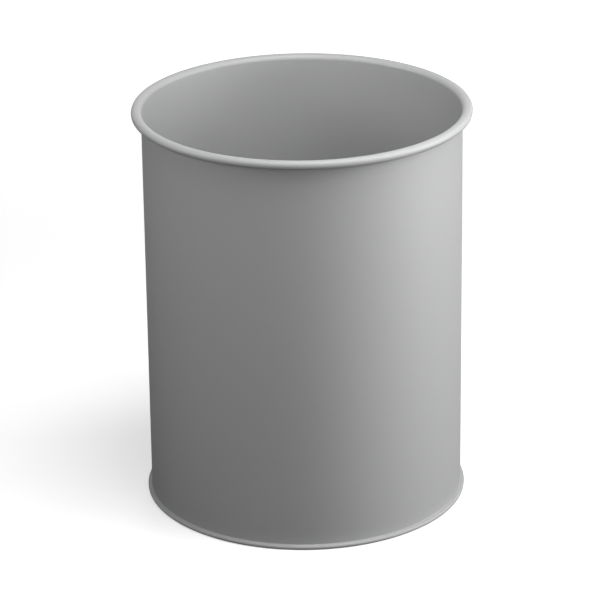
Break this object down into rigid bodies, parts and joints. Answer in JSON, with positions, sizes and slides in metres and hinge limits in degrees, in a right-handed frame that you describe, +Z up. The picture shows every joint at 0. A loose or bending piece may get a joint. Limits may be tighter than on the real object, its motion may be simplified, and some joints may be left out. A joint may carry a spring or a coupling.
{
  "type": "metal waste bin",
  "caption": "Round open-topped waste bin in painted sheet steel, with a straight rolled wall, a hollow rolled rim and a raised base plate locked on by a rolled foot seam.",
  "frame": {"origin": "centre of the circle that the bin stands on, on the floor", "axes": "+Z up along the bin's axis, -Y towards the viewer, side weld at the back on +Y"},
  "size_m": [0.26, 0.26, 0.315],
  "materials": {
    "silver_paint": "satin metallic silver grey powder coat on sheet steel, inside and out"
  },
  "bodies": {
    "root": {"side_wall": "silver_paint", "side_seam_weld": "silver_paint", "base_plate": "silver_paint"}
  },
  "joints": []
}
